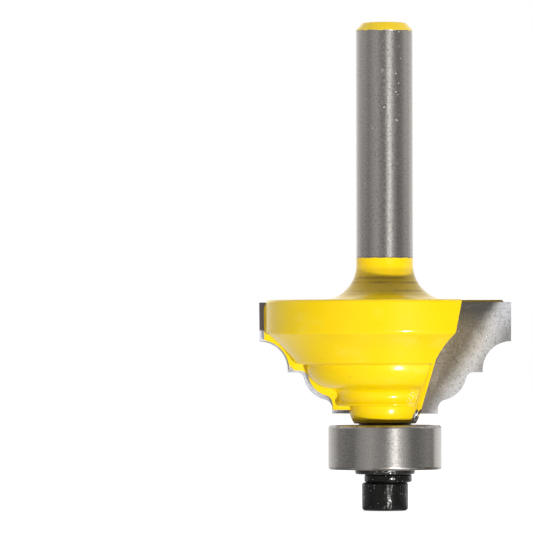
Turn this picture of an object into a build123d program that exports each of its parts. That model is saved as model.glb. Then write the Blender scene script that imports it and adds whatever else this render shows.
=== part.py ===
from build123d import *
import os
from math import cos, radians, sin, sqrt, tan

# Cove and bead router bit with a ball bearing pilot, in millimetres.
# It stands on the head of its bearing screw, shank up, and turns about Z.
# A value named drop is measured down from the top edge of the cutting tips.

# Bearing screw, a hexagon socket cap screw
screw_head_diameter = 5.18
screw_head_height = 3.175
screw_head_seat_round = 0.28
screw_head_end_round = 0.42
screw_thread_diameter = 3.175
screw_length = 9.525
screw_point_chamfer = 0.4
socket_width = 2.381
socket_depth = 1.6
socket_floor_drop = 0.35

# Washers between the screw head and the bearing
lock_washer_diameter = 5.33
lock_washer_bore = 3.9
lock_washer_thickness = 0.9
lock_washer_bevel = 0.16
lock_washer_slit = 0.45
lock_washer_slit_angle = 120
lock_washer_slit_tilt = 30
lock_washer_shift = 0.34
lock_washer_shift_angle = 10
flat_washer_diameter = 6.7
flat_washer_bore = 3.3
flat_washer_thickness = 0.52
flat_washer_bevel = 0.14

# Pilot bearing
bearing_diameter = 12.7
bearing_bore = 4.7625
bearing_width = 4.978
bearing_edge_round = 0.32
ring_edge_round = 0.12
ball_count = 7
ball_diameter = 2.30
race_clearance = 0.03
race_conformity = 1.08
land_offset = 0.87
shield_seat_step = 0.26
shield_seat_depth = 0.62
shield_sheet = 0.2
shield_bore_gap = 0.15
shield_rim_width = 0.5
shield_dish = 0.12
shield_clearance = 0.02
snap_groove_step = 0.13
snap_ring_width = 0.35
snap_ring_thickness = 0.22
snap_ring_gap_angle = 24
snap_groove_clearance = 0.02
cage_sheet = 0.18
cage_land_gap = 0.34
cage_pocket_clearance = 0.04
rivet_diameter = 0.42
rivet_head_diameter = 0.66
rivet_head_height = 0.12

# Turned body: shank, neck, band, cove, bead, narrow band, boss and bearing stub
shank_diameter = 6.35
shank_length = 31.09
shank_end_flat_diameter = 4.8
shank_end_chamfer_height = 0.85
shank_end_round = 0.4
neck_radius = 4.0
body_rise_above_tips = 0.24
band_diameter = 26.66
band_top_round = 0.34
band_drop = 3.5
band_lower_round = 0.5
turned_cove_drop = 6.86
turned_cove_diameter = 20.0
turned_cove_sag = 0.25
turned_ledge_drop = 0.18
turned_edge_round = 0.2
turned_bead_diameter = 17.6
turned_bead_radius = 2.65
narrow_band_diameter = 11.0
narrow_band_top_drop = 11.35
narrow_hollow_sag = 0.5
narrow_band_drop = 11.61
boss_top_diameter = 8.05
boss_diameter = 6.9
boss_height = 1.97
boss_sag = 0.18
seat_collar_diameter = 5.9
seat_collar_height = 0.17
stub_clearance = 0.02
stub_end_gap = 0.25
thread_clearance = 0.012
tapped_hole_spare = 1.2
drill_point_angle = 59

# Cutting profile, drawn on the rake face of a tip
cutting_diameter = 28.575
cutting_height = 12.5
land_height = 4.39
cove_radius = 3.175
cove_foot_height = 0.285
shelf_fillet = 0.85
bead_radius = 3.175
bead_axis_radius = 6.14
foot_diameter = 12.2
foot_fillet = 1.05

# Tips, the wings that back them, and the gullets in front of them
tip_count = 2
tip_thickness = 1.45
tip_relief_in = 0.20
tip_relief_up = 0.08
tip_root_gap = 0.31
wing_thickness = 0.8
wing_rise = 0.2
wing_top_round = 1.0
wing_inset = 0.2
wing_land_inset = 0.55
wing_bead_inset = 0.52
wing_foot_inset = 0.06
wing_bottom_inset = 0.45
wing_corner_cut = 0.62
wing_root_radius = 2.5
wing_relief_in = 0.174
rake_shear = 0.052
gullet_slope = 0.295
gullet_root_radius = 7.43
gullet_wheel_radius = 10
gullet_wheel_lead = 1.95
gullet_wheel_turn = 52

# Heights that follow from the stack
screw_point = screw_head_height + screw_length
lock_washer_top = screw_head_height + lock_washer_thickness
bearing_bottom = lock_washer_top + flat_washer_thickness
bearing_top = bearing_bottom + bearing_width
bearing_middle = bearing_bottom + bearing_width / 2
boss_bottom = bearing_top + seat_collar_height
narrow_band_bottom = boss_bottom + boss_height
tip_top = narrow_band_bottom + narrow_band_drop
body_top = tip_top + body_rise_above_tips
shank_top = body_top + shank_length
stub_bottom = bearing_bottom + stub_end_gap

# Radii that follow from the diameters
shank_radius = shank_diameter / 2
band_radius = band_diameter / 2
cutting_radius = cutting_diameter / 2
thread_radius = screw_thread_diameter / 2
hole_radius = thread_radius + thread_clearance

# Radii inside the bearing, set out from the circle of the ball centres
outer_radius = bearing_diameter / 2
bore_radius = bearing_bore / 2
stub_radius = bore_radius - stub_clearance
ball_radius = ball_diameter / 2
ball_circle_radius = (outer_radius + bore_radius) / 2
groove_radius = ball_radius * race_conformity
inner_race_radius = ball_circle_radius - ball_radius - race_clearance
outer_race_radius = ball_circle_radius + ball_radius + race_clearance
inner_land_radius = ball_circle_radius - land_offset
outer_land_radius = ball_circle_radius + land_offset
cage_inner_radius = inner_land_radius + cage_land_gap
cage_outer_radius = outer_land_radius - cage_land_gap
shield_seat_radius = outer_land_radius + shield_seat_step
shield_bore_radius = inner_land_radius + shield_bore_gap
snap_ring_radius = shield_seat_radius + snap_groove_step

os.makedirs("parts", exist_ok=True)


def corner_at(sketch, across, up):
    """The corner of a section that lies nearest to a point."""
    return sketch.vertices().sort_by_distance((across, up))[0]


def cutting_outline(insets, top, bottom, root_top, root_bottom):
    """The cove and bead outline, held back by its insets, closed along its root."""
    inset, land_inset, bead_inset, foot_inset = insets
    land_radius = cutting_radius - land_inset
    cove_axis = -land_height - cove_radius
    cove_foot_radius = cutting_radius - cove_radius - inset
    shelf = cove_axis - cove_foot_height + inset
    bead_axis = cove_axis - cove_foot_height
    large_cove = cove_radius + inset
    small_bead = bead_radius - bead_inset
    shelf_round = shelf_fillet + inset
    foot_round = foot_fillet + foot_inset
    foot_radius = foot_diameter / 2 - foot_inset

    # A fillet touches the bead on the line between their two centres
    shelf_reach = small_bead + shelf_round
    shelf_drop = bead_axis - (shelf - shelf_round)
    shelf_center = bead_axis_radius + sqrt(shelf_reach**2 - shelf_drop**2)
    shelf_share = small_bead / shelf_reach
    foot_reach = small_bead + foot_round
    foot_offset = foot_radius + foot_round - bead_axis_radius
    foot_center = bead_axis - sqrt(foot_reach**2 - foot_offset**2)
    foot_share = small_bead / foot_reach

    land_end = (land_radius, cove_axis + sqrt(large_cove**2 - land_inset**2))
    cove_foot = (cove_foot_radius, cove_axis)
    shelf_corner = (cove_foot_radius, shelf)
    shelf_end = (shelf_center, shelf)
    bead_start = (
        bead_axis_radius + (shelf_center - bead_axis_radius) * shelf_share,
        bead_axis - shelf_drop * shelf_share,
    )
    bead_end = (
        bead_axis_radius + foot_offset * foot_share,
        bead_axis + (foot_center - bead_axis) * foot_share,
    )
    foot_start = (foot_radius, foot_center)

    Line((root_top, top), (land_radius, top))
    Line((land_radius, top), land_end)
    RadiusArc(land_end, cove_foot, -large_cove)
    Line(cove_foot, shelf_corner)
    Line(shelf_corner, shelf_end)
    RadiusArc(shelf_end, bead_start, -shelf_round)
    RadiusArc(bead_start, bead_end, small_bead)
    RadiusArc(bead_end, foot_start, -foot_round)
    Line(foot_start, (foot_radius, bottom))
    Line((foot_radius, bottom), (root_bottom, bottom))
    Line((root_bottom, bottom), (root_top, top))
    return shelf_corner


# Turned body with its two wings, cut by the gullets, the tip seats and the hole

rake_plane = Plane(origin=(0, 0, tip_top), x_dir=(1, 0, 0), z_dir=(0, -1, rake_shear))
tip_sweep = Vector(-tip_relief_in, 1, tip_relief_up) * tip_thickness
wing_depth = tip_thickness + wing_thickness
wing_sweep = Vector(-wing_relief_in, 1, 0) * wing_depth
tip_root_radius = gullet_root_radius + tip_root_gap
tip_root_foot = tip_root_radius - gullet_slope * cutting_height
gullet_run = Vector(gullet_slope, rake_shear, 1)
gullet_start = boss_bottom - seat_collar_height / 2
gullet_depth = tip_top - gullet_start
past_body = cutting_diameter
cove_end = tip_top - turned_cove_drop
bead_top = cove_end - turned_ledge_drop
bead_edge_radius = turned_bead_diameter / 2
bead_foot_radius = bead_edge_radius - turned_bead_radius
hole_end = screw_point + tapped_hole_spare

with BuildPart() as bit_body:
    with BuildSketch(Plane.XZ) as turned_section:
        with BuildLine():
            Polyline(
                (stub_radius, stub_bottom),
                (0, stub_bottom),
                (0, shank_top),
                (shank_end_flat_diameter / 2, shank_top),
                (shank_radius, shank_top - shank_end_chamfer_height),
                (shank_radius, body_top + neck_radius),
            )
            RadiusArc(
                (shank_radius, body_top + neck_radius),
                (shank_radius + neck_radius, body_top),
                -neck_radius,
            )
            Polyline(
                (shank_radius + neck_radius, body_top),
                (band_radius, body_top),
                (band_radius, tip_top - band_drop),
            )
            SagittaArc(
                (band_radius, tip_top - band_drop),
                (turned_cove_diameter / 2, cove_end),
                -turned_cove_sag,
            )
            Line((turned_cove_diameter / 2, cove_end), (bead_edge_radius, bead_top))
            RadiusArc(
                (bead_edge_radius, bead_top),
                (bead_foot_radius, bead_top - turned_bead_radius),
                turned_bead_radius,
            )
            SagittaArc(
                (bead_foot_radius, bead_top - turned_bead_radius),
                (narrow_band_diameter / 2, tip_top - narrow_band_top_drop),
                -narrow_hollow_sag,
            )
            Polyline(
                (narrow_band_diameter / 2, tip_top - narrow_band_top_drop),
                (narrow_band_diameter / 2, narrow_band_bottom),
                (boss_top_diameter / 2, narrow_band_bottom),
            )
            SagittaArc(
                (boss_top_diameter / 2, narrow_band_bottom),
                (boss_diameter / 2, boss_bottom),
                boss_sag,
            )
            Polyline(
                (boss_diameter / 2, boss_bottom),
                (seat_collar_diameter / 2, boss_bottom),
                (seat_collar_diameter / 2, bearing_top),
                (stub_radius, bearing_top),
                (stub_radius, stub_bottom),
            )
        make_face()
        fillet(corner_at(turned_section, band_radius, body_top), band_top_round)
        fillet(
            corner_at(turned_section, band_radius, tip_top - band_drop),
            band_lower_round,
        )
        for across, up in (
            (turned_cove_diameter / 2, cove_end),
            (narrow_band_diameter / 2, narrow_band_bottom),
        ):
            fillet(corner_at(turned_section, across, up), turned_edge_round)
        fillet(
            corner_at(turned_section, shank_end_flat_diameter / 2, shank_top),
            shank_end_round,
        )
    revolve(axis=Axis.Z)

    # Wings stand a little inside the tips that they back
    with BuildSketch(rake_plane) as wing_section:
        with BuildLine():
            wing_corner = cutting_outline(
                (wing_inset, wing_land_inset, wing_bead_inset, wing_foot_inset),
                wing_rise,
                wing_bottom_inset - cutting_height,
                wing_root_radius,
                wing_root_radius,
            )
        make_face()
        chamfer(corner_at(wing_section, *wing_corner), wing_corner_cut)
        fillet(
            corner_at(wing_section, cutting_radius - wing_land_inset, wing_rise),
            wing_top_round,
        )
    wing = extrude(amount=wing_sweep.length, dir=wing_sweep, mode=Mode.PRIVATE)
    with PolarLocations(0, tip_count):
        add(wing)

    # Gullets run the whole height, leaning with the rake faces, as a round wheel cuts them
    wheel_reach = sqrt(gullet_wheel_radius**2 - gullet_wheel_lead**2)
    wheel_center = Vector(gullet_root_radius + wheel_reach, -gullet_wheel_lead)
    wheel_spoke = Vector(-gullet_wheel_radius, 0).rotate(Axis.Z, gullet_wheel_turn)
    wheel_exit = wheel_center + wheel_spoke
    gullet_plane = Plane(
        origin=Vector(0, 0, tip_top) - gullet_run * gullet_depth, z_dir=(0, 0, 1)
    )
    with BuildSketch(gullet_plane):
        with BuildLine():
            RadiusArc((gullet_root_radius, 0), wheel_exit, -gullet_wheel_radius)
            Polyline(
                wheel_exit,
                (past_body, wheel_exit.Y),
                (past_body, 0),
                (gullet_root_radius, 0),
            )
        make_face()
    gullet_sweep = gullet_run * (gullet_depth + 2 * body_rise_above_tips)
    gullet = extrude(amount=gullet_sweep.length, dir=gullet_sweep, mode=Mode.PRIVATE)
    with PolarLocations(0, tip_count):
        add(gullet, mode=Mode.SUBTRACT)

    # Seats take the tips face to face and are open at the top
    with BuildSketch(rake_plane):
        with BuildLine():
            Polyline(
                (tip_root_radius + gullet_slope * cutting_height, cutting_height),
                (past_body, cutting_height),
                (past_body, -2 * cutting_height),
                (tip_root_radius - gullet_slope * 2 * cutting_height, -2 * cutting_height),
                close=True,
            )
        make_face()
    seat = extrude(amount=tip_sweep.length, dir=tip_sweep, mode=Mode.PRIVATE)
    with PolarLocations(0, tip_count):
        add(seat, mode=Mode.SUBTRACT)

    # Blind hole for the bearing screw
    with BuildSketch(Plane.XZ):
        with BuildLine():
            Polyline(
                (0, stub_bottom),
                (hole_radius, stub_bottom),
                (hole_radius, hole_end),
                (0, hole_end + hole_radius / tan(radians(drill_point_angle))),
                close=True,
            )
        make_face()
    revolve(axis=Axis.Z, mode=Mode.SUBTRACT)

bit_body.part.label = "bit_body"
export_step(bit_body.part, "parts/bit_body.step")


# Cutting tips

with BuildPart() as cutting_tip:
    with BuildSketch(rake_plane):
        with BuildLine():
            cutting_outline((0, 0, 0, 0), 0, -cutting_height, tip_root_radius, tip_root_foot)
        make_face()
    extrude(amount=tip_sweep.length, dir=tip_sweep)
    split(bisect_by=Plane.XY.offset(tip_top), keep=Keep.BOTTOM)

for number in range(tip_count):
    with BuildPart() as placed_tip:
        add(cutting_tip.part, rotation=(0, 0, number * 360 / tip_count))
    name = f"cutting_tip_{number + 1}"
    placed_tip.part.label = name
    export_step(placed_tip.part, f"parts/{name}.step")


# Bearing rings

half_width = bearing_width / 2
middle_plane = Plane.XY.offset(bearing_middle)
bearing_plane = Plane.XZ.shift_origin((0, 0, bearing_middle))

with BuildPart() as inner_ring:
    with BuildSketch(bearing_plane) as inner_section:
        with Locations(((bore_radius + inner_land_radius) / 2, 0)):
            Rectangle(inner_land_radius - bore_radius, bearing_width)
        fillet(inner_section.vertices(), ring_edge_round)
        with Locations((inner_race_radius + groove_radius, 0)):
            Circle(groove_radius, mode=Mode.SUBTRACT)
    revolve(axis=Axis.Z)

inner_ring.part.label = "bearing_inner_ring"
export_step(inner_ring.part, "parts/bearing_inner_ring.step")

seat_height = half_width - shield_seat_depth
snap_groove_radius = snap_ring_radius + snap_groove_clearance
snap_groove_start = seat_height + shield_sheet
snap_groove_width = snap_ring_thickness + snap_groove_clearance

with BuildPart() as outer_ring:
    with BuildSketch(bearing_plane) as outer_section:
        with Locations(((outer_land_radius + outer_radius) / 2, 0)):
            Rectangle(outer_radius - outer_land_radius, bearing_width)
        fillet(
            outer_section.vertices().group_by(Axis.X)[-1],
            bearing_edge_round,
        )
        with Locations((outer_race_radius - groove_radius, 0)):
            Circle(groove_radius, mode=Mode.SUBTRACT)
        for side in (1, -1):
            with Locations((0, side * (half_width + seat_height) / 2)):
                Rectangle(2 * shield_seat_radius, shield_seat_depth, mode=Mode.SUBTRACT)
            with Locations((0, side * (snap_groove_start + snap_groove_width / 2))):
                Rectangle(2 * snap_groove_radius, snap_groove_width, mode=Mode.SUBTRACT)
    revolve(axis=Axis.Z)

outer_ring.part.label = "bearing_outer_ring"
export_step(outer_ring.part, "parts/bearing_outer_ring.step")


# Shields and the split rings that hold them, one pair on each side

for side, side_name in ((1, "upper"), (-1, "lower")):
    with BuildPart() as shield:
        rim_radius = shield_seat_radius - shield_clearance
        step_radius = rim_radius - shield_rim_width
        dished_radius = step_radius - shield_dish
        inside = side * seat_height
        with BuildSketch(bearing_plane):
            with BuildLine():
                Polyline(
                    (rim_radius, inside),
                    (step_radius, inside),
                    (dished_radius, inside + side * shield_dish),
                    (shield_bore_radius, inside + side * shield_dish),
                    (shield_bore_radius, inside + side * (shield_dish + shield_sheet)),
                    (dished_radius, inside + side * (shield_dish + shield_sheet)),
                    (step_radius, inside + side * shield_sheet),
                    (rim_radius, inside + side * shield_sheet),
                    close=True,
                )
            make_face()
        revolve(axis=Axis.Z)
    shield.part.label = f"bearing_shield_{side_name}"
    export_step(shield.part, f"parts/bearing_shield_{side_name}.step")

    with BuildPart() as snap_ring:
        ring_middle = side * (snap_groove_start + snap_ring_thickness / 2)
        mean_radius = snap_ring_radius - snap_ring_width / 2
        with BuildSketch(bearing_plane):
            with Locations((mean_radius, ring_middle)):
                Rectangle(snap_ring_width, snap_ring_thickness)
        revolve(axis=Axis.Z, revolution_arc=360 - snap_ring_gap_angle)
    snap_ring.part.label = f"shield_snap_ring_{side_name}"
    export_step(snap_ring.part, f"parts/shield_snap_ring_{side_name}.step")


# Balls

ball_places = PolarLocations(ball_circle_radius, ball_count).local_locations

for number, place in enumerate(ball_places):
    with BuildPart(middle_plane) as ball:
        with Locations(place):
            Sphere(ball_radius)
    name = f"bearing_ball_{number + 1}"
    ball.part.label = name
    export_step(ball.part, f"parts/{name}.step")


# Cage of two pressed halves riveted between the balls

pocket_radius = ball_radius + cage_pocket_clearance
rivet_start_angle = 180 / ball_count

for side, side_name, kept_half in (
    (1, "upper", Keep.TOP),
    (-1, "lower", Keep.BOTTOM),
):
    with BuildPart(middle_plane) as cage_half:
        with BuildSketch(middle_plane):
            Circle(cage_outer_radius)
            Circle(cage_inner_radius, mode=Mode.SUBTRACT)
        extrude(amount=side * cage_sheet)
        with PolarLocations(ball_circle_radius, ball_count):
            Sphere(pocket_radius + cage_sheet)
        split(bisect_by=middle_plane, keep=kept_half)
        with BuildSketch(middle_plane):
            Circle(outer_radius)
            Circle(cage_outer_radius, mode=Mode.SUBTRACT)
            Circle(cage_inner_radius)
        extrude(amount=side * bearing_width, mode=Mode.SUBTRACT)
        with PolarLocations(ball_circle_radius, ball_count):
            Sphere(pocket_radius, mode=Mode.SUBTRACT)
        with PolarLocations(ball_circle_radius, ball_count, rivet_start_angle):
            Cylinder(rivet_diameter / 2, 4 * cage_sheet, mode=Mode.SUBTRACT)
    cage_half.part.label = f"bearing_cage_{side_name}"
    export_step(cage_half.part, f"parts/bearing_cage_{side_name}.step")

with BuildPart(middle_plane) as cage_rivets:
    with PolarLocations(ball_circle_radius, ball_count, rivet_start_angle):
        Cylinder(rivet_diameter / 2, 2 * cage_sheet)
        for side in (1, -1):
            with Locations((0, 0, side * (cage_sheet + rivet_head_height / 2))):
                Cylinder(rivet_head_diameter / 2, rivet_head_height)

cage_rivets.part.label = "cage_rivets"
export_step(cage_rivets.part, "parts/cage_rivets.step")


# Flat washer against the inner ring

with BuildPart() as flat_washer:
    with BuildSketch(Plane.XY.offset(lock_washer_top)):
        Circle(flat_washer_diameter / 2)
        Circle(flat_washer_bore / 2, mode=Mode.SUBTRACT)
    extrude(amount=flat_washer_thickness)
    chamfer(
        flat_washer.edges().group_by(Axis.Z)[0].sort_by(SortBy.RADIUS)[-1],
        flat_washer_bevel,
    )

flat_washer.part.label = "flat_washer"
export_step(flat_washer.part, "parts/flat_washer.step")


# Split lock washer, closed up by the screw and a little off centre

washer_place = Vector(
    lock_washer_shift * cos(radians(lock_washer_shift_angle)),
    lock_washer_shift * sin(radians(lock_washer_shift_angle)),
    screw_head_height,
)

washer_plane = Plane(origin=washer_place)

with BuildPart(washer_plane) as lock_washer:
    with BuildSketch(washer_plane):
        Circle(lock_washer_diameter / 2)
        Circle(lock_washer_bore / 2, mode=Mode.SUBTRACT)
    extrude(amount=lock_washer_thickness)
    chamfer(
        lock_washer.edges().filter_by(GeomType.CIRCLE).sort_by(SortBy.RADIUS)[-2:],
        lock_washer_bevel,
    )
    slit_place = Location(
        (0, 0, lock_washer_thickness / 2), (0, 0, lock_washer_slit_angle)
    )
    with Locations(slit_place * Location((lock_washer_diameter / 2, 0, 0))):
        Box(
            lock_washer_diameter,
            lock_washer_slit,
            4 * lock_washer_thickness,
            rotation=(lock_washer_slit_tilt, 0, 0),
            mode=Mode.SUBTRACT,
        )

lock_washer.part.label = "lock_washer"
export_step(lock_washer.part, "parts/lock_washer.step")


# Bearing screw

with BuildPart() as bearing_screw:
    head_radius = screw_head_diameter / 2
    with BuildSketch(Plane.XZ) as screw_section:
        with BuildLine():
            Polyline(
                (0, 0),
                (head_radius, 0),
                (head_radius, screw_head_height),
                (thread_radius, screw_head_height),
                (thread_radius, screw_point - screw_point_chamfer),
                (thread_radius - screw_point_chamfer, screw_point),
                (0, screw_point),
                close=True,
            )
        make_face()
        fillet(corner_at(screw_section, head_radius, 0), screw_head_end_round)
        fillet(
            corner_at(screw_section, head_radius, screw_head_height),
            screw_head_seat_round,
        )
    revolve(axis=Axis.Z)
    with BuildSketch():
        RegularPolygon(socket_width / 2, 6, major_radius=False)
    extrude(amount=socket_depth, mode=Mode.SUBTRACT)
    with Locations((0, 0, socket_depth + socket_floor_drop / 2)):
        Cone(socket_width / 2, 0, socket_floor_drop, mode=Mode.SUBTRACT)

bearing_screw.part.label = "bearing_screw"
export_step(bearing_screw.part, "parts/bearing_screw.step")
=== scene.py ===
from math import atan, cos, radians, sin, tan

import bmesh
import bpy
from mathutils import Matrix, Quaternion, Vector


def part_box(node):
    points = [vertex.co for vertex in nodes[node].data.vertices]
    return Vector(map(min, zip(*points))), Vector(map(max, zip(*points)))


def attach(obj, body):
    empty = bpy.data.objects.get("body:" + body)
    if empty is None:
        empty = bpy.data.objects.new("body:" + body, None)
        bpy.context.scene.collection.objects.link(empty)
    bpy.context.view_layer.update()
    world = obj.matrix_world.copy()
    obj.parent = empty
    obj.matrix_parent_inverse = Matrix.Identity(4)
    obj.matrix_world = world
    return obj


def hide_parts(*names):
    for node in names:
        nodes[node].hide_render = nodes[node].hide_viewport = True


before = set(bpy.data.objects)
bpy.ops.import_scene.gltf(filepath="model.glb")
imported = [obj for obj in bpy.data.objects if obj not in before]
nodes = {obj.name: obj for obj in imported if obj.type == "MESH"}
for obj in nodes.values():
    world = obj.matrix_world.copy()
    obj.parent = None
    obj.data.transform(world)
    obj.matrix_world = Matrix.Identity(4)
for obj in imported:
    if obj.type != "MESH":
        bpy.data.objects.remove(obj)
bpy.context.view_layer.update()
mm = 0.001

# heights that the looks follow, read from the frame
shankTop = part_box("bit_body")[1].z
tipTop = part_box("cutting_tip_1")[1].z
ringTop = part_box("bearing_outer_ring")[1].z


# node helpers

def clearNodes(tree):
    for n in list(tree.nodes):
        tree.nodes.remove(n)


def addNode(tree, kind, **settings):
    n = tree.nodes.new(kind)
    for key, value in settings.items():
        setattr(n, key, value)
    return n


def link(tree, source, target):
    tree.links.new(source, target)


def feed(tree, socket, value):
    # a number, a colour or another node's output
    if isinstance(value, (int, float)):
        socket.default_value = value
    elif isinstance(value, tuple):
        socket.default_value = (*value, 1)
    else:
        link(tree, value, socket)


def mathNode(tree, operation, *values):
    n = addNode(tree, "ShaderNodeMath", operation=operation)
    for socket, value in zip(n.inputs, values):
        feed(tree, socket, value)
    return n.outputs[0]


def times(tree, a, b):
    return mathNode(tree, "MULTIPLY", a, b)


def plus(tree, a, b):
    return mathNode(tree, "ADD", a, b)


def minus(tree, a, b):
    return mathNode(tree, "SUBTRACT", a, b)


def timesPlus(tree, a, b, c):
    return mathNode(tree, "MULTIPLY_ADD", a, b, c)


def largest(tree, a, b):
    return mathNode(tree, "MAXIMUM", a, b)


def isBelow(tree, a, b):
    return mathNode(tree, "LESS_THAN", a, b)


def mixColor(tree, factor, a, b):
    n = addNode(tree, "ShaderNodeMix", data_type="RGBA")
    feed(tree, n.inputs[0], factor)
    feed(tree, n.inputs[6], a)
    feed(tree, n.inputs[7], b)
    return n.outputs[2]


def mixValue(tree, factor, a, b):
    n = addNode(tree, "ShaderNodeMix", data_type="FLOAT")
    feed(tree, n.inputs[0], factor)
    feed(tree, n.inputs[2], a)
    feed(tree, n.inputs[3], b)
    return n.outputs[0]


def mixShader(tree, factor, a, b):
    n = addNode(tree, "ShaderNodeMixShader")
    for socket, source in zip(n.inputs, (factor, a, b)):
        link(tree, source, socket)
    return n.outputs[0]


def ramp(tree, value, start, end, low=0.0, high=1.0):
    # eases from low to high while the value goes from start to end
    n = addNode(tree, "ShaderNodeMapRange", interpolation_type="SMOOTHSTEP")
    link(tree, value, n.inputs["Value"])
    n.inputs["From Min"].default_value = start
    n.inputs["From Max"].default_value = end
    n.inputs["To Min"].default_value = low
    n.inputs["To Max"].default_value = high
    return n.outputs["Result"]


def varied(tree, middle, noise, amount):
    # the middle value, moved up and down by a noise
    return timesPlus(tree, minus(tree, noise, 0.5), amount, middle)


def stretched(tree, vector, alongAxis):
    n = addNode(tree, "ShaderNodeMapping")
    link(tree, vector, n.inputs["Vector"])
    n.inputs["Scale"].default_value = (1, 1, alongAxis)
    return n.outputs["Vector"]


def apart(tree, vector):
    n = addNode(tree, "ShaderNodeSeparateXYZ")
    link(tree, vector, n.inputs[0])
    return n.outputs


def together(tree, x, y, z):
    n = addNode(tree, "ShaderNodeCombineXYZ")
    for socket, value in zip(n.inputs, (x, y, z)):
        feed(tree, socket, value)
    return n.outputs[0]


def vectorWith(tree, operation, vector, other):
    # a vector's distance to a point, or its dot product with a direction
    n = addNode(tree, "ShaderNodeVectorMath", operation=operation)
    link(tree, vector, n.inputs[0])
    n.inputs[1].default_value = other
    return n.outputs["Value"]


# shared surface effects, each built once

def newGroup(name, values, result):
    tree = bpy.data.node_groups.new(name, "ShaderNodeTree")
    tree.interface.new_socket("Vector", in_out="INPUT", socket_type="NodeSocketVector")
    for label, value in values.items():
        socket = tree.interface.new_socket(label, in_out="INPUT", socket_type="NodeSocketFloat")
        socket.default_value = value
    tree.interface.new_socket(result, in_out="OUTPUT", socket_type="NodeSocketFloat")
    start = addNode(tree, "NodeGroupInput").outputs
    end = addNode(tree, "NodeGroupOutput").inputs[0]
    return tree, start, end


def makeSpecksGroup():
    # scattered dust or pits: small round spots in a share of the cells
    tree, start, end = newGroup("specks", {"Cells": 1500.0, "Size": 0.2, "Share": 0.3}, "Mask")
    cells = addNode(tree, "ShaderNodeTexVoronoi", feature="F1")
    link(tree, start["Vector"], cells.inputs["Vector"])
    link(tree, start["Cells"], cells.inputs["Scale"])
    split = addNode(tree, "ShaderNodeSeparateColor")
    link(tree, cells.outputs["Color"], split.inputs["Color"])
    chosen = isBelow(tree, split.outputs[0], start["Share"])
    reach = times(tree, start["Size"], split.outputs[1])
    near = isBelow(tree, cells.outputs["Distance"], reach)
    link(tree, times(tree, chosen, near), end)
    return tree


def makeTurningGroup(detail):
    # rings left by the tool, or by a grinding wheel, round the bit's own axis
    tree, start, end = newGroup("turningMarks", {"Rings": 9000.0}, "Height")
    x, y, z = apart(tree, start["Vector"])
    radius = mathNode(tree, "SQRT", plus(tree, times(tree, x, x), times(tree, y, y)))
    marks = addNode(tree, "ShaderNodeTexNoise")
    link(tree, together(tree, radius, 0.0, z), marks.inputs["Vector"])
    link(tree, start["Rings"], marks.inputs["Scale"])
    marks.inputs["Detail"].default_value = detail
    link(tree, marks.outputs["Fac"], end)
    return tree


def makeScratchGroup(patchScale):
    # short fine scratches: thin lines of a smooth noise, kept in some patches
    tree, start, end = newGroup("scratches", {"Scale": 900.0, "Width": 0.012, "Patch": 0.6}, "Mask")
    bend = addNode(tree, "ShaderNodeTexNoise")
    link(tree, start["Vector"], bend.inputs["Vector"])
    link(tree, start["Scale"], bend.inputs["Scale"])
    bend.inputs["Detail"].default_value = 0
    line = mathNode(tree, "ABSOLUTE", minus(tree, bend.outputs["Fac"], 0.5))
    thin = isBelow(tree, line, start["Width"])
    patch = noiseOf(tree, start["Vector"], {"scale": patchScale, "detail": 1})
    some = mathNode(tree, "GREATER_THAN", patch, start["Patch"])
    link(tree, times(tree, thin, some), end)
    return tree


def useGroup(tree, group, vector, **values):
    n = addNode(tree, "ShaderNodeGroup", node_tree=group)
    link(tree, vector, n.inputs["Vector"])
    for key, value in values.items():
        n.inputs[key].default_value = value
    return n.outputs[0]


# layers of a surface, each made from a dictionary of its own

def placeOf(tree, place, c):
    # some layers are drawn out or squashed along the bit's axis
    return stretched(tree, place, c["stretch"]) if "stretch" in c else place


def noiseOf(tree, place, c):
    n = addNode(tree, "ShaderNodeTexNoise")
    link(tree, placeOf(tree, place, c), n.inputs["Vector"])
    n.inputs["Scale"].default_value = c["scale"]
    n.inputs["Detail"].default_value = c["detail"]
    n.inputs["Roughness"].default_value = c.get("rough", 0.55)
    return n.outputs["Fac"]


def specksOf(tree, place, c):
    spot = placeOf(tree, place, c)
    return useGroup(tree, specks, spot, Cells=c["cells"], Size=c["size"], Share=c["share"])


def scratchesOf(tree, place, c):
    return useGroup(tree, scratches, place, Scale=c["scale"], Width=c["width"], Patch=c["patch"])


def ringsOf(tree, place, c):
    return useGroup(tree, turningMarks, place, Rings=c["rings"])


def fadeIn(tree, value, c):
    # a mask that grows from 0 to 1 between the layer's two levels
    return ramp(tree, value, *c["levels"])


def layered(tree, tone, masks, layers):
    # lays each layer's colour on the tone through its mask and strength, in the masks' order
    for name, mask in masks.items():
        layer = layers[name]
        tone = mixColor(tree, times(tree, mask, layer["strength"]), tone, layer["colour"])
    return tone


specks = makeSpecksGroup()
turningMarks = makeTurningGroup(detail=3)
scratches = makeScratchGroup(patchScale=1100)
print("surface effects ready")


# what all the materials start and end with

def blankMaterial(name):
    m = bpy.data.materials.new(name)
    m.use_nodes = True
    clearNodes(m.node_tree)
    out = addNode(m.node_tree, "ShaderNodeOutputMaterial")
    return m, m.node_tree, out.inputs[0]


def newMaterial(name):
    m, tree, surface = blankMaterial(name)
    shader = addNode(tree, "ShaderNodeBsdfPrincipled")
    link(tree, shader.outputs[0], surface)
    place = addNode(tree, "ShaderNodeTexCoord").outputs["Object"]
    return m, tree, shader.inputs, place


def facingOf(tree):
    return apart(tree, addNode(tree, "ShaderNodeNewGeometry").outputs["Normal"])


def bumpInto(tree, sockets, height, distance):
    n = addNode(tree, "ShaderNodeBump")
    n.inputs["Distance"].default_value = distance
    link(tree, height, n.inputs["Height"])
    link(tree, n.outputs[0], sockets["Normal"])


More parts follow.
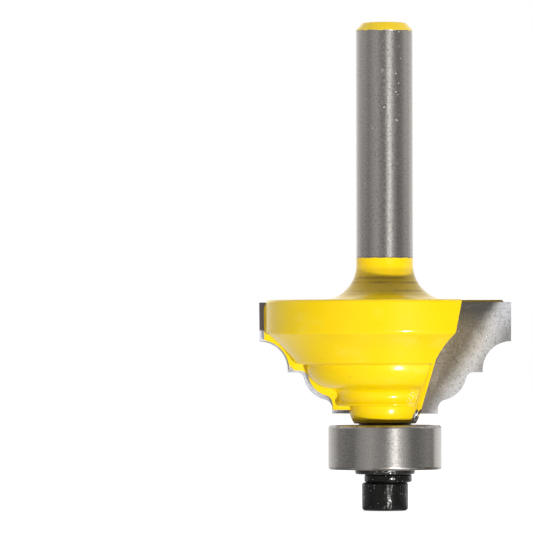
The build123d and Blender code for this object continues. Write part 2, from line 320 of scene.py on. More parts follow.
def ringBrushed(tree, sockets, amount):
    # marks run round the axis, so highlights stretch along it, a quarter turn from the tangent
    feed(tree, sockets["Anisotropic"], amount)
    sockets["Anisotropic Rotation"].default_value = 0.25
    tangent = addNode(tree, "ShaderNodeTangent", direction_type="RADIAL", axis="Z")
    link(tree, tangent.outputs[0], sockets["Tangent"])


# painted body: enamel over turned steel, bare on the shank and where the gullets run out

enamel = {
    "colour": (0.88, 0.615, 0.0),
    "roughness": 0.45,
    "specular": 0.04,
    "gloss": 0.8,
    "coatRoughness": 0.16,
    "relief": 0.012 * mm,
    "ringRelief": 0.5,
    "thickness": 3.0,
    "paintEdge": tipTop + 4.947 * mm,
    "endPaint": shankTop - 0.933 * mm,
    "edgeSoftness": 0.05 * mm,
    "rimWidth": 0.2 * mm,
    "rag": {"scale": 1600, "detail": 4, "stretch": 0.1, "reach": 0.22 * mm},
    "crumbs": {"scale": 5200, "detail": 3, "rough": 0.6},
    "peel": {"scale": 700, "detail": 2},
    "sliver": {
        "centre": (3.72 * mm, -1.0 * mm, ringTop + 0.927 * mm),
        "levels": (1.4 * mm, 1.1 * mm),
        "rag": 0.9 * mm,
    },
    "mottle": {
        "scale": 260,
        "detail": 4,
        "levels": (0.4, 0.75),
        "strength": 0.25,
        "colour": (0.80, 0.53, 0.0),
    },
    "turning": {
        "rings": 11000.0,
        "levels": (0.45, 0.7),
        "strength": 0.18,
        "colour": (0.80, 0.53, 0.0),
    },
    # painted reflection: soft pale patches in the enamel that stand in for uneven reflections
    "cloud": {
        "scale": 190,
        "detail": 4,
        "rough": 0.6,
        "stretch": 1.8,
        "levels": (0.52, 0.74),
        "strength": 0.32,
        "colour": (0.90, 0.70, 0.10),
    },
    "grit": {
        "cells": 3000.0,
        "size": 0.3,
        "share": 0.012,
        "strength": 0.4,
        "colour": (0.35, 0.22, 0.03),
    },
    # painted shadow: a darker band on the neck above the body, where the body's rim shades it from the
    # low key lamp
    "neck": {
        "span": (tipTop + 0.577 * mm, tipTop + 3.977 * mm),
        "fade": 0.5 * mm,
        "strength": 0.42,
        "colour": (0.46, 0.30, 0.01),
    },
    # turning streaks, drawn only inside the neck's painted shadow
    "streaks": {
        "rings": 2600.0,
        "levels": (0.44, 0.6),
        "everywhere": 0.25,
        "strength": 0.75,
        "colour": (0.36, 0.25, 0.02),
    },
    "streakPatches": {"scale": 420, "detail": 3, "stretch": 2, "levels": (0.42, 0.6)},
    # crumbs of braze: real lumps in the relief, with pale dots in the colour that are painted glints
    "brazeAndGlints": {
        "centre": (3.9 * mm, -3.6 * mm, ringTop + 2.727 * mm),
        "squash": 0.7,
        "span": (1.2 * mm, 0.6 * mm),
        "relief": 2.0,
        "levels": (0.56, 0.64),
        "strength": 1.0,
        "colour": (0.95, 0.88, 0.66),
    },
    # painted shadow: the boss darker below a height just above the bearing, where the bearing shades it
    "bossUndersideShadow": {
        "levels": (ringTop + 0.877 * mm, ringTop + 0.677 * mm),
        "strength": 0.28,
        "colour": (0.28, 0.15, 0.03),
    },
    # painted shade: a near-black line at the boss's foot, where it meets the bearing
    "bossFootShadow": {
        "levels": (ringTop + 0.352 * mm, ringTop + 0.256 * mm),
        "strength": 0.93,
        "colour": (0.01, 0.008, 0.004),
    },
}
shankSteel = {
    "colour": (0.58, 0.55, 0.515),
    "grooveShade": 0.84,
    "roughness": (0.185, 0.205),
    "brushing": 0.2,
    "ringRelief": 0.1,
    "grain": {"scale": 4300, "detail": 2, "rough": 0.6, "stretch": 0.75, "relief": 0.3},
    "pits": {"cells": 4600.0, "size": 0.5, "share": 0.3, "relief": 0.35},
    "speckle": {
        "scale": 6500,
        "detail": 2,
        "rough": 0.6,
        "roughens": 0.13,
        "levels": (0.5, 0.36),
        "strength": 0.4,
        "colour": (0.22, 0.20, 0.19),
    },
    "dust": {
        "cells": 2300.0,
        "size": 0.2,
        "share": 0.035,
        "roughness": 0.75,
        "strength": 0.5,
        "colour": (0.88, 0.88, 0.86),
    },
    "stain": {
        "cells": 900.0,
        "size": 0.2,
        "share": 0.05,
        "stretch": 0.8,
        "strength": 0.7,
        "colour": (0.16, 0.13, 0.12),
    },
    "rim": {"strength": 0.75, "colour": (0.16, 0.15, 0.17)},
    "flux": {"levels": (0.48, 0.56), "dark": (0.02, 0.018, 0.016), "pale": (0.9, 0.88, 0.84)},
}


def findSpots(tree, place, v, steel):
    # masks that the body's colour, roughness and relief share
    x, y, z = apart(tree, place)
    side = mathNode(tree, "SIGN", x)
    eitherWing = together(tree, times(tree, x, side), times(tree, y, side), z)
    crumbs = noiseOf(tree, place, v["crumbs"])

    # the shank is bare between two ragged paint edges, with a dark rim over the lower one
    edge = varied(tree, z, noiseOf(tree, place, v["rag"]), v["rag"]["reach"])
    soft = v["edgeSoftness"]
    aboveNeck = ramp(tree, edge, v["paintEdge"] - soft, v["paintEdge"] + soft)
    belowEnd = ramp(tree, edge, v["endPaint"] + soft, v["endPaint"] - soft)
    shank = times(tree, aboveNeck, belowEnd)
    nearNeck = ramp(tree, edge, v["paintEdge"] + v["rimWidth"], v["paintEdge"])

    # bare metal where each gullet runs out through the boss, and crumbs of braze beside it, whose pale
    # dots are painted glints
    sliver = v["sliver"]
    away = vectorWith(tree, "DISTANCE", eitherWing, sliver["centre"])
    sliverMask = fadeIn(tree, timesPlus(tree, crumbs, sliver["rag"], away), sliver)
    brazeAndGlints = v["brazeAndGlints"]
    across, deep, up = brazeAndGlints["centre"]
    squashed = stretched(tree, eitherWing, brazeAndGlints["squash"])
    brazeOff = vectorWith(tree, "DISTANCE", squashed, (across, deep, brazeAndGlints["squash"] * up))
    return {
        "z": z,
        "crumbs": crumbs,
        "rings": ringsOf(tree, place, v["turning"]),
        "shank": shank,
        "rim": times(tree, nearNeck, aboveNeck),
        "sliver": sliverMask,
        "brazeAndGlints": ramp(tree, brazeOff, *brazeAndGlints["span"]),
        "bare": largest(tree, shank, sliverMask),
        "speckle": noiseOf(tree, place, steel["speckle"]),
        "dust": specksOf(tree, place, steel["dust"]),
    }


def paintTone(tree, place, spots, v):
    z = spots["z"]
    # the neck is painted darker in a band, a painted shadow of the body's rim, and the turning streaks
    # lie only inside it
    low, high = v["neck"]["span"]
    fade = v["neck"]["fade"]
    neck = times(tree, ramp(tree, z, low, low + fade), ramp(tree, z, high, high - fade))
    patches = fadeIn(tree, noiseOf(tree, place, v["streakPatches"]), v["streakPatches"])
    streaks = fadeIn(tree, ringsOf(tree, place, v["streaks"]), v["streaks"])
    someStreaks = times(tree, streaks, plus(tree, patches, v["streaks"]["everywhere"]))
    return layered(tree, v["colour"], {
        "mottle": fadeIn(tree, noiseOf(tree, place, v["mottle"]), v["mottle"]),
        "turning": fadeIn(tree, spots["rings"], v["turning"]),
        # pale patches of painted reflection
        "cloud": fadeIn(tree, noiseOf(tree, place, v["cloud"]), v["cloud"]),
        "grit": specksOf(tree, place, v["grit"]),
        "neck": neck,
        "streaks": times(tree, someStreaks, neck),
        "brazeAndGlints": times(tree, spots["brazeAndGlints"], fadeIn(tree, spots["crumbs"], v["brazeAndGlints"])),
        # painted shadow low on the boss
        "bossUndersideShadow": fadeIn(tree, z, v["bossUndersideShadow"]),
        # painted shade line at the boss's foot
        "bossFootShadow": fadeIn(tree, z, v["bossFootShadow"]),
    }, v)


def bareTone(tree, place, spots, v):
    groove = tuple(v["grooveShade"] * c for c in v["colour"])
    tone = layered(tree, mixColor(tree, spots["rings"], groove, v["colour"]), {
        "speckle": fadeIn(tree, spots["speckle"], v["speckle"]),
        "dust": spots["dust"],
        "stain": specksOf(tree, place, v["stain"]),
        "rim": spots["rim"],
    }, v)
    flux = v["flux"]
    fluxTone = mixColor(tree, fadeIn(tree, spots["crumbs"], flux), flux["dark"], flux["pale"])
    return mixColor(tree, spots["sliver"], tone, fluxTone)


def bodyRoughness(tree, spots, v, steel):
    ground = ramp(tree, spots["z"], v["paintEdge"], v["endPaint"], *steel["roughness"])
    speckled = varied(tree, ground, spots["speckle"], steel["speckle"]["roughens"])
    dusty = mixValue(tree, spots["dust"], speckled, steel["dust"]["roughness"])
    return mixValue(tree, spots["bare"], v["roughness"], dusty)


def bodyRelief(tree, place, spots, v, steel):
    rings = spots["rings"]
    grain = noiseOf(tree, place, steel["grain"])
    pits = specksOf(tree, place, steel["pits"])
    skin = timesPlus(tree, rings, v["ringRelief"], noiseOf(tree, place, v["peel"]))
    turned = times(tree, rings, steel["ringRelief"])
    worn = timesPlus(tree, grain, steel["grain"]["relief"], turned)
    worn = timesPlus(tree, pits, -steel["pits"]["relief"], worn)
    relief = timesPlus(tree, spots["bare"], -v["thickness"], mixValue(tree, spots["bare"], skin, worn))
    brazed = times(tree, spots["brazeAndGlints"], v["brazeAndGlints"]["relief"])
    lumps = times(tree, largest(tree, spots["sliver"], brazed), spots["crumbs"])
    return plus(tree, relief, lumps)


def makeEnamelSteel(v, steel):
    m, tree, sockets, place = newMaterial("enamelOnSteel")
    spots = findSpots(tree, place, v, steel)
    bare = spots["bare"]
    paint = paintTone(tree, place, spots, v)
    metal = bareTone(tree, place, spots, steel)
    link(tree, mixColor(tree, bare, paint, metal), sockets["Base Color"])
    link(tree, bare, sockets["Metallic"])
    link(tree, bodyRoughness(tree, spots, v, steel), sockets["Roughness"])
    sockets["Specular IOR Level"].default_value = v["specular"]
    link(tree, times(tree, minus(tree, 1.0, bare), v["gloss"]), sockets["Coat Weight"])
    sockets["Coat Roughness"].default_value = v["coatRoughness"]
    ringBrushed(tree, sockets, times(tree, spots["shank"], steel["brushing"]))
    bumpInto(tree, sockets, bodyRelief(tree, place, spots, v, steel), v["relief"])
    return m


# carbide tips: ground, finely pitted, with painted reflections across the face: a pale sweep, grey
# beyond it on one side and dark at the top on the other

# tones for the tips' painted highlights and reflections, and for painted shade in the grain's hollows
paleCarbideHighlight = (0.90, 0.92, 1.0)
darkCarbideReflectionAndShade = (0.10, 0.10, 0.105)
carbide = {
    "colour": (0.262, 0.246, 0.252),
    "roughness": 0.44,
    "relief": 0.005 * mm,
    "sweepThrough": (11.15 * mm, tipTop - 4.823 * mm),
    "sweepAngle": 59.0,
    "sweepWidth": 1.25 * mm,
    "backFacing": {"levels": (-0.75, -0.55)},
    "cloud": {"scale": 520, "detail": 3, "reach": 1.2 * mm},
    "grain": {"scale": 5200, "detail": 4, "rough": 0.7, "roughens": 0.16, "relief": 0.6},
    # the face's tones across the sweep are painted reflections: grey beyond it, pale in it, dark at the
    # top
    "outside": {"levels": (0.0, 1.0), "strength": 1.0, "colour": (0.40, 0.40, 0.41)},
    "sweepReflection": {
        "rise": (-1.7, 0.0),
        "fall": (1.6, 0.1),
        "strength": 0.85,
        "colour": paleCarbideHighlight,
    },
    "darkTopReflection": {
        "height": (tipTop - 3.323 * mm, tipTop - 0.723 * mm),
        "levels": (-0.5, -1.6),
        "strength": 0.85,
        "colour": darkCarbideReflectionAndShade,
    },
    # painted glints: pale grains, fewer where the top is dark
    "sparkle": {
        "levels": (0.56, 0.72),
        "amounts": (0.35, 0.1),
        "strength": 1.0,
        "colour": paleCarbideHighlight,
    },
    # painted shade in the grain's hollows
    "hollowShade": {"levels": (0.47, 0.34), "strength": 0.6, "colour": darkCarbideReflectionAndShade},
    "strokes": {
        "scale": 4200,
        "detail": 3,
        "rough": 0.6,
        "stretch": 0.2,
        "levels": (0.5, 0.7),
        "across": (0.5, 2.0),
        "amounts": (0.12, 0.4),
        "strength": 1.0,
        "colour": (0.14, 0.135, 0.13),
    },
    "pits": {
        "cells": 3800.0,
        "size": 0.28,
        "share": 0.045,
        "strength": 0.45,
        "colour": (0.10, 0.09, 0.08),
    },
    "lines": {
        "scale": 680.0,
        "width": 0.008,
        "patch": 0.61,
        "strength": 0.7,
        "colour": (0.07, 0.065, 0.06),
    },
    # on the tips' back flank: a pale wedge of painted highlight, and above it a darker brownish painted
    # reflection on the land
    "backWedgeHighlight": {
        "levels": (tipTop - 4.383 * mm, tipTop - 4.283 * mm),
        "strength": 1.0,
        "colour": paleCarbideHighlight,
    },
    "backLandReflection": {
        "levels": (tipTop - 3.203 * mm, tipTop - 3.103 * mm),
        "strength": 1.0,
        "colour": (0.25, 0.22, 0.22),
    },
}


def acrossSweep(tree, place, x, z, v):
    # how far a point lies outside the middle of the pale sweep of painted reflection, in widths of the
    # sweep
    lean = radians(v["sweepAngle"])
    middleOut, middleUp = v["sweepThrough"]
    out = times(tree, minus(tree, mathNode(tree, "ABSOLUTE", x), middleOut), sin(lean))
    up = times(tree, minus(tree, z, middleUp), cos(lean))
    cloud = noiseOf(tree, place, v["cloud"])
    off = varied(tree, minus(tree, out, up), cloud, v["cloud"]["reach"])
    return times(tree, off, 1 / v["sweepWidth"])


def makeCarbide(v):
    m, tree, sockets, place = newMaterial("groundCarbide")
    x, _, z = apart(tree, place)
    off = acrossSweep(tree, place, x, z, v)
    grain = noiseOf(tree, place, v["grain"])
    strokes = noiseOf(tree, place, v["strokes"])
    pits = specksOf(tree, place, v["pits"])
    lines = scratchesOf(tree, place, v["lines"])
    away = times(tree, mathNode(tree, "SIGN", x), facingOf(tree)[1])
    back = fadeIn(tree, away, v["backFacing"])
    dark = times(tree, ramp(tree, z, *v["darkTopReflection"]["height"]), fadeIn(tree, off, v["darkTopReflection"]))
    sparkle = mixValue(tree, dark, *v["sparkle"]["amounts"])
    stroked = ramp(tree, off, *v["strokes"]["across"], *v["strokes"]["amounts"])
    tone = layered(tree, v["colour"], {
        "outside": fadeIn(tree, off, v["outside"]),
        "sweepReflection": times(tree, ramp(tree, off, *v["sweepReflection"]["rise"]), ramp(tree, off, *v["sweepReflection"]["fall"])),
        "darkTopReflection": dark,
        # painted glints on the high grains and painted shade in the low ones
        "sparkle": times(tree, fadeIn(tree, grain, v["sparkle"]), sparkle),
        "hollowShade": fadeIn(tree, grain, v["hollowShade"]),
        "strokes": times(tree, fadeIn(tree, strokes, v["strokes"]), stroked),
        "pits": pits,
        "lines": lines,
        # painted highlight and painted reflection on the back flank
        "backWedgeHighlight": times(tree, back, fadeIn(tree, z, v["backWedgeHighlight"])),
        "backLandReflection": times(tree, back, fadeIn(tree, z, v["backLandReflection"])),
    }, v)
    link(tree, tone, sockets["Base Color"])
    sockets["Metallic"].default_value = 1.0
    link(tree, varied(tree, v["roughness"], grain, v["grain"]["roughens"]), sockets["Roughness"])
    relief = minus(tree, times(tree, grain, v["grain"]["relief"]), plus(tree, pits, lines))
    bumpInto(tree, sockets, relief, v["relief"])
    return m


# bearing rings and other bright steel

ringSteel = {
    "name": "groundRingSteel",
    "colour": (0.585, 0.555, 0.52),
    "roughness": 0.172,
    "sideRoughness": 0.36,
    "brushing": 0.15,
    "rings": 12000.0,
    "grainRelief": 0.4,
    "grime": 0.2,
    "scratched": 0.55,
}
plainSteel = {
    "name": "pressedSteel",
    "colour": (0.56, 0.55, 0.53),
    "roughness": 0.40,
    "sideRoughness": 0.40,
    "brushing": 0.3,
    "rings": 9000.0,
    "grainRelief": 1.0,
    "grime": 0.35,
    "scratched": 0.3,
}
ballSteel = {
    "name": "polishedBallSteel",
    "colour": (0.72, 0.72, 0.71),
    "roughness": 0.12,
    "sideRoughness": 0.12,
    "brushing": 0.0,
    "rings": 3000.0,
    "grainRelief": 0.2,
    "grime": 0.1,
    "scratched": 0.0,
}
steelMarks = {
    "grooveShade": 0.88,
    "ringRelief": 0.1,
    "relief": 0.008 * mm,
    "grain": {"scale": 4300, "detail": 2, "rough": 0.6, "stretch": 0.8},
    "spots": {"cells": 1500.0, "size": 0.16, "share": 0.06},
    "lines": {"scale": 520.0, "width": 0.01, "patch": 0.67},
    "edge": {"levels": (0.05, 0.3)},
    "speckle": {
        "scale": 6500,
        "detail": 2,
        "rough": 0.6,
        "roughens": 0.12,
        "levels": (0.5, 0.36),
        "strength": 0.3,
        "colour": (0.22, 0.20, 0.19),
    },
    "smear": {
        "scale": 520,
        "detail": 4,
        "stretch": 0.35,
        "levels": (0.45, 0.8),
        "strength": 1.0,
        "colour": (0.30, 0.27, 0.23),
    },
    "scratches": {"strength": 1.0, "colour": (0.92, 0.92, 0.9)},
    "smut": {"levels": (0.42, 0.6), "strength": 0.7, "colour": (0.24, 0.18, 0.14)},
    "flatSide": {"levels": (0.9, 0.98), "strength": 0.7, "colour": (0.23, 0.23, 0.24)},
}


def makeSteel(v, marks):
    m, tree, sockets, place = newMaterial(v["name"])
    rings = ringsOf(tree, place, v)
    grain = noiseOf(tree, place, marks["grain"])
    smear = noiseOf(tree, place, marks["smear"])
    speckle = noiseOf(tree, place, marks["speckle"])
    spots = specksOf(tree, place, marks["spots"])
    lines = scratchesOf(tree, place, marks["lines"])
    scratched = times(tree, largest(tree, spots, lines), v["scratched"])
    upright = mathNode(tree, "ABSOLUTE", facingOf(tree)[2])
    edge = fadeIn(tree, upright, marks["edge"])
    groove = tuple(marks["grooveShade"] * c for c in v["colour"])
    tone = layered(tree, mixColor(tree, rings, groove, v["colour"]), {
        "speckle": fadeIn(tree, speckle, marks["speckle"]),
        "smear": times(tree, fadeIn(tree, smear, marks["smear"]), v["grime"]),
        "scratches": scratched,
        "smut": times(tree, edge, fadeIn(tree, smear, marks["smut"])),
        "flatSide": fadeIn(tree, upright, marks["flatSide"]),
    }, marks)
    link(tree, tone, sockets["Base Color"])
    sockets["Metallic"].default_value = 1.0
    rough = varied(tree, v["roughness"], speckle, marks["speckle"]["roughens"])
    link(tree, mixValue(tree, edge, rough, v["sideRoughness"]), sockets["Roughness"])
    ringBrushed(tree, sockets, v["brushing"])
    turned = times(tree, rings, marks["ringRelief"])
    relief = timesPlus(tree, grain, v["grainRelief"], turned)
    bumpInto(tree, sockets, minus(tree, relief, scratched), marks["relief"])
    return m


# oiled black screw and washers, with a bright dust on the oil

blackOxide = {
    "name": "oiledBlackOxide",
    "colour": (0.005, 0.0048, 0.0045),
    "wornColour": (0.012, 0.011, 0.010),
    "roughness": 0.135,
    "sheen": 0.29,
}
washerOxide = {
    "name": "wornBlackOxide",
    "colour": (0.016, 0.0155, 0.0145),
    "wornColour": (0.045, 0.042, 0.038),
    "roughness": 0.22,
    "sheen": 0.42,
}
oxideMarks = {
    "relief": 0.05 * mm,
    "cloud": {"scale": 900, "detail": 4, "roughens": 0.06, "levels": (0.5, 0.8)},
    "bumps": {"scale": 5200, "detail": 0},
    "dust": {
        "cells": 4600.0,
        "size": 0.4,
        "share": 0.23,
        "roughness": 0.3,
        "relief": 0.3,
        "strength": 1.0,
        "colour": (0.55, 0.53, 0.50),
    },
}


def makeBlackOxide(v, marks):
    m, tree, sockets, place = newMaterial(v["name"])
    cloud = noiseOf(tree, place, marks["cloud"])
    dust = specksOf(tree, place, marks["dust"])
    bumps = noiseOf(tree, place, marks["bumps"])
    oxide = mixColor(tree, fadeIn(tree, cloud, marks["cloud"]), v["colour"], v["wornColour"])
    link(tree, layered(tree, oxide, {"dust": dust}, marks), sockets["Base Color"])
    link(tree, dust, sockets["Metallic"])
    oiled = varied(tree, v["roughness"], cloud, marks["cloud"]["roughens"])
    link(tree, mixValue(tree, dust, oiled, marks["dust"]["roughness"]), sockets["Roughness"])
    sockets["Specular IOR Level"].default_value = v["sheen"]
    relief = timesPlus(tree, dust, marks["dust"]["relief"], bumps)
    bumpInto(tree, sockets, relief, marks["relief"])
    return m


finishes = {
    "enamel": makeEnamelSteel(enamel, shankSteel),
    "carbide": makeCarbide(carbide),
    "ring": makeSteel(ringSteel, steelMarks),
    "plain": makeSteel(plainSteel, steelMarks),
    "ball": makeSteel(ballSteel, steelMarks),
    "black": makeBlackOxide(blackOxide, oxideMarks),
    "washer": makeBlackOxide(washerOxide, oxideMarks),
}
wears = {
    "bit_body": "enamel",
    "cutting_tip": "carbide",
    "bearing_inner_ring": "ring",
    "bearing_outer_ring": "ring",
    "bearing_ball": "ball",
    "bearing_cage": "plain",
    "cage_rivets": "plain",
    "bearing_shield": "plain",
    "shield_snap_ring": "plain",
    "flat_washer": "washer",
    "lock_washer": "black",
    "bearing_screw": "black",
}
for nodeName, piece in nodes.items():
    finish = next(f for start, f in wears.items() if nodeName.startswith(start))
    piece.data.materials.clear()
    piece.data.materials.append(finishes[finish])
print("finishes on", len(nodes), "nodes")


# bearing screw: the solid one carries no thread, so a copy of it gets the groove cut in

screwThread = {
    "pitch": 0.635 * mm,
    "majorRadius": 1.5875 * mm,
    "depth": 0.34 * mm,
    "rootWidth": 0.13 * mm,
    "flankAngle": 30.0,
    "pastCrest": 0.05 * mm,
    "startsAbove": 0.7 * mm,
    "stepsPerTurn": 24,
    "mergeWithin": 0.001 * mm,
    "smoothUnder": 30.0,
}


def linkNew(name, data):
    thing = bpy.data.objects.new(name, data)
    bpy.context.scene.collection.objects.link(thing)
    return thing


def makeGroove(v, low, high):
    # the groove's section, swept up round the axis past the screw's point
    root = v["majorRadius"] - v["depth"]
    crest = v["majorRadius"] + v["pastCrest"]
    narrow = v["rootWidth"] / 2
    wide = narrow + (crest - root) * tan(radians(v["flankAngle"]))
    section = [(root, -narrow), (crest, -wide), (crest, wide), (root, narrow)]
    turns = int((high - low) / v["pitch"]) + 1
    bm = bmesh.new()
    corners = [bm.verts.new((radius, 0, low + height)) for radius, height in section]
    face = bm.faces.new(corners)
    bmesh.ops.spin(
        bm,
        geom=[*corners, *bm.edges, face],
        cent=(0, 0, 0),
        axis=(0, 0, 1),
        dvec=(0, 0, v["pitch"] / v["stepsPerTurn"]),
        angle=radians(360) * turns,
        steps=turns * v["stepsPerTurn"],
    )
    bmesh.ops.holes_fill(bm, edges=[e for e in bm.edges if e.is_boundary])
    bmesh.ops.recalc_face_normals(bm, faces=bm.faces)
    data = bpy.data.meshes.new("threadGroove")
    bm.to_mesh(data)
    bm.free()
    return linkNew("threadGroove", data)


def mergeClose(source, target, within):
    bm = bmesh.new()
    bm.from_mesh(source)
    bmesh.ops.remove_doubles(bm, verts=bm.verts, dist=within)
    bm.to_mesh(target)
    bm.free()


def makeThreadedScrew(v):
    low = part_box("lock_washer")[0].z + v["startsAbove"]
    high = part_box("bearing_screw")[1].z + v["pitch"]
    groove = makeGroove(v, low, high)
    blank = bpy.data.meshes.new("screwBlank")
    mergeClose(nodes["bearing_screw"].data, blank, v["mergeWithin"])
    piece = linkNew("threadedScrew", blank)
    cut = piece.modifiers.new("cutThread", "BOOLEAN")
    cut.operation = "DIFFERENCE"
    cut.solver = "EXACT"
    cut.object = groove
    ready = piece.evaluated_get(bpy.context.evaluated_depsgraph_get())
    data = bpy.data.meshes.new_from_object(ready)
    mergeClose(data, data, v["mergeWithin"])
    piece.modifiers.clear()
    piece.data = data
    bpy.data.objects.remove(groove)
    data.materials.clear()
    data.materials.append(finishes["black"])
    data.shade_smooth()
    data.set_sharp_from_angle(angle=radians(v["smoothUnder"]))
    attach(piece, "cutter")
    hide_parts("bearing_screw")
    print("screw threaded,", len(data.polygons), "faces")


makeThreadedScrew(screwThread)


# camera, where the photographer stood

photographer = {
    "azimuth": 10.0,
    "distance": 680 * mm,
    "eyeHeight": 17.8 * mm,
    "frameWidth": 59.7 * mm,
    "aimAcross": -13.23 * mm,
    "aimUp": 27.35 * mm,
    "lean": -0.1,
    "clip": (50 * mm, 20000 * mm),
}


def placeCamera(v):
    turn = radians(v["azimuth"])
    right = Vector((cos(turn), sin(turn), 0))
    back = Vector((sin(turn), -cos(turn), 0))
    aim = right * v["aimAcross"] + Vector((0, 0, v["aimUp"]))
    place = right * v["aimAcross"] + back * v["distance"] + Vector((0, 0, v["eyeHeight"]))
    data = bpy.data.cameras.new("camera")
    data.angle = 2 * atan(v["frameWidth"] / 2 / v["distance"])
    data.clip_start, data.clip_end = v["clip"]
    camera = linkNew("camera", data)
    camera.location = place
    level = (aim - place).to_track_quat("-Z", "Y")
    camera.rotation_euler = (level @ Quaternion((0, 0, 1), radians(v["lean"]))).to_euler()
    bpy.context.scene.camera = camera
    return right, back


cameraRight, cameraBack = placeCamera(photographer)


# studio: a small key lamp low on the camera's right, a softer one on its left and a white room

# azimuths here are counted from the camera's side, positive to its right
lamps = {
    "keyLamp": {
        "azimuth": 20.0,
        "elevation": -15.6,
        "distance": 2000 * mm,
        "size": 66 * mm,
        "watts": 41.0,
        "highlight": True,
    },
    "sideLamp": {
        "azimuth": -38.0,
        "elevation": -15.6,
        "distance": 2000 * mm,
        "size": 140 * mm,
        "watts": 8.0,
        "highlight": False,
    },
}
lampsAimUp = 20 * mm
floorLook = {"size": 3000 * mm, "tone": 0.35, "glow": 0.86}
room = {
    "fill": (0.05, 2.3),
    "fillFrom": (0.25, -0.8),
    "fillAbove": 1.5,
    "mirroredAbove": 0.45,
    "above": (0.7, 0.95),
    "horizon": (-0.01, 0.04),
}

# brightness all round as metal mirrors it, by azimuth: the floor, low down and a little higher
roomTones = {
    -180: (0.84, 0.88, 1.25),
    -156: (0.82, 0.80, 1.12),
    -144: (0.78, 0.70, 0.86),
    -120: (0.50, 0.46, 0.66),
    -108: (0.24, 0.14, 0.64),
    -84: (0.13, 0.06, 0.60),
    -68: (0.16, 0.07, 0.42),
    -52: (0.36, 0.34, 0.48),
    -32: (0.50, 0.50, 0.55),
    -14: (0.38, 0.33, 0.31),
    0: (0.42, 0.16, 0.17),
    14: (0.72, 0.32, 0.34),
    26: (0.62, 0.36, 0.38),
    38: (0.58, 0.24, 0.30),
    56: (0.20, 0.10, 0.26),
    72: (0.18, 0.08, 0.38),
    88: (0.22, 0.12, 0.62),
    98: (0.25, 0.16, 0.76),
    113: (0.20, 0.14, 0.68),
    121: (0.80, 0.66, 0.76),
    136: (0.98, 0.80, 0.76),
    150: (1.0, 0.90, 0.92),
    180: (0.84, 0.88, 1.25),
}


def makeLamp(name, v):
    # a lamp without a highlight lights what is matt, and nothing glossy mirrors it
    turn = radians(photographer["azimuth"] + v["azimuth"])
    lift = radians(v["elevation"])
    toward = Vector((sin(turn) * cos(lift), -cos(turn) * cos(lift), sin(lift)))
    data = bpy.data.lights.new(name, "AREA")
    data.shape = "DISK"
    data.size = v["size"]
    data.energy = v["watts"]
    lamp = linkNew(name, data)
    lamp.location = toward * v["distance"] + Vector((0, 0, lampsAimUp))
    lamp.rotation_euler = toward.to_track_quat("Z", "Y").to_euler()
    lamp.visible_glossy = v["highlight"]


for lampName, lampValues in lamps.items():
    makeLamp(lampName, lampValues)


def toneRing(tree, share, level):
    # one of the three levels of the room's tones, all the way round
    n = addNode(tree, "ShaderNodeValToRGB")
    link(tree, share, n.inputs[0])
    stops = n.color_ramp.elements
    for angle, tones in roomTones.items():
        if angle == -180:
            stop = stops[0]
        elif angle == 180:
            stop = stops[-1]
        else:
            stop = stops.new(0.5 + angle / 360)
        stop.color = (tones[level], tones[level], tones[level], 1)
    return n.outputs[0]


def aroundShare(tree, vector):
    # a direction's azimuth as a share of the full turn, and how far it points to the camera's side
    toRight = vectorWith(tree, "DOT_PRODUCT", vector, cameraRight)
    toBack = vectorWith(tree, "DOT_PRODUCT", vector, cameraBack)
    around = mathNode(tree, "ARCTAN2", toRight, toBack)
    return timesPlus(tree, around, 1 / radians(360), 0.5), toBack


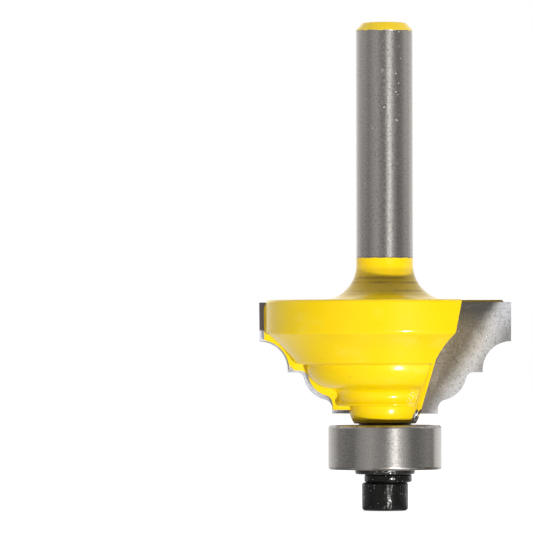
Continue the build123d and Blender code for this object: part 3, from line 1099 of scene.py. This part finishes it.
def makeFloor(v):
    data = bpy.data.meshes.new("floor")
    bm = bmesh.new()
    bmesh.ops.create_grid(bm, x_segments=1, y_segments=1, size=v["size"] / 2)
    bm.to_mesh(data)
    bm.free()
    floor = linkNew("floor", data)
    floor.visible_shadow = False
    m, tree, surface = blankMaterial("paleFloor")
    path = addNode(tree, "ShaderNodeLightPath").outputs
    place = addNode(tree, "ShaderNodeTexCoord").outputs["Object"]
    share = aroundShare(tree, place)[0]
    ring = apart(tree, toneRing(tree, share, 0))[0]
    mirrored = times(tree, path["Is Glossy Ray"], ring)
    direct = times(tree, path["Is Camera Ray"], v["glow"])
    matt = addNode(tree, "ShaderNodeBsdfDiffuse")
    plain = (v["tone"], v["tone"], v["tone"])
    tone = mixColor(tree, path["Is Glossy Ray"], plain, (0.0, 0.0, 0.0))
    link(tree, tone, matt.inputs["Color"])
    glow = addNode(tree, "ShaderNodeEmission")
    link(tree, largest(tree, direct, mirrored), glow.inputs["Strength"])
    both = addNode(tree, "ShaderNodeAddShader")
    link(tree, matt.outputs[0], both.inputs[0])
    link(tree, glow.outputs[0], both.inputs[1])
    link(tree, both.outputs[0], surface)
    data.materials.append(m)


makeFloor(floorLook)


def backdrop(tree, colour, strength):
    n = addNode(tree, "ShaderNodeBackground")
    feed(tree, n.inputs["Color"], colour)
    feed(tree, n.inputs["Strength"], strength)
    return n.outputs[0]


def makeRoom(v):
    # metal mirrors the room's tones, the camera sees white, and the rest is lit by a plain fill
    world = bpy.data.worlds.new("room")
    bpy.context.scene.world = world
    world.use_nodes = True
    tree = world.node_tree
    clearNodes(tree)
    out = addNode(tree, "ShaderNodeOutputWorld")
    place = addNode(tree, "ShaderNodeTexCoord").outputs["Generated"]
    share, toBack = aroundShare(tree, place)
    up = apart(tree, place)[2]
    above = ramp(tree, up, *v["above"])
    low = toneRing(tree, share, 1)
    high = toneRing(tree, share, 2)
    walls = mixColor(tree, ramp(tree, up, *v["horizon"]), low, high)
    ceiling = (v["mirroredAbove"], v["mirroredAbove"], v["mirroredAbove"])
    mirrored = mixColor(tree, above, walls, ceiling)
    level = ramp(tree, toBack, *v["fillFrom"], *v["fill"])
    fill = mixValue(tree, above, level, v["fillAbove"])
    white = (1.0, 1.0, 1.0)
    path = addNode(tree, "ShaderNodeLightPath").outputs
    unseen = mixShader(
        tree,
        path["Is Glossy Ray"],
        backdrop(tree, white, fill),
        backdrop(tree, mirrored, 1.0),
    )
    seen = backdrop(tree, white, 1.0)
    link(tree, mixShader(tree, path["Is Camera Ray"], unseen, seen), out.inputs[0])


makeRoom(room)
bpy.context.scene.view_settings.view_transform = "Standard"
print("studio ready")
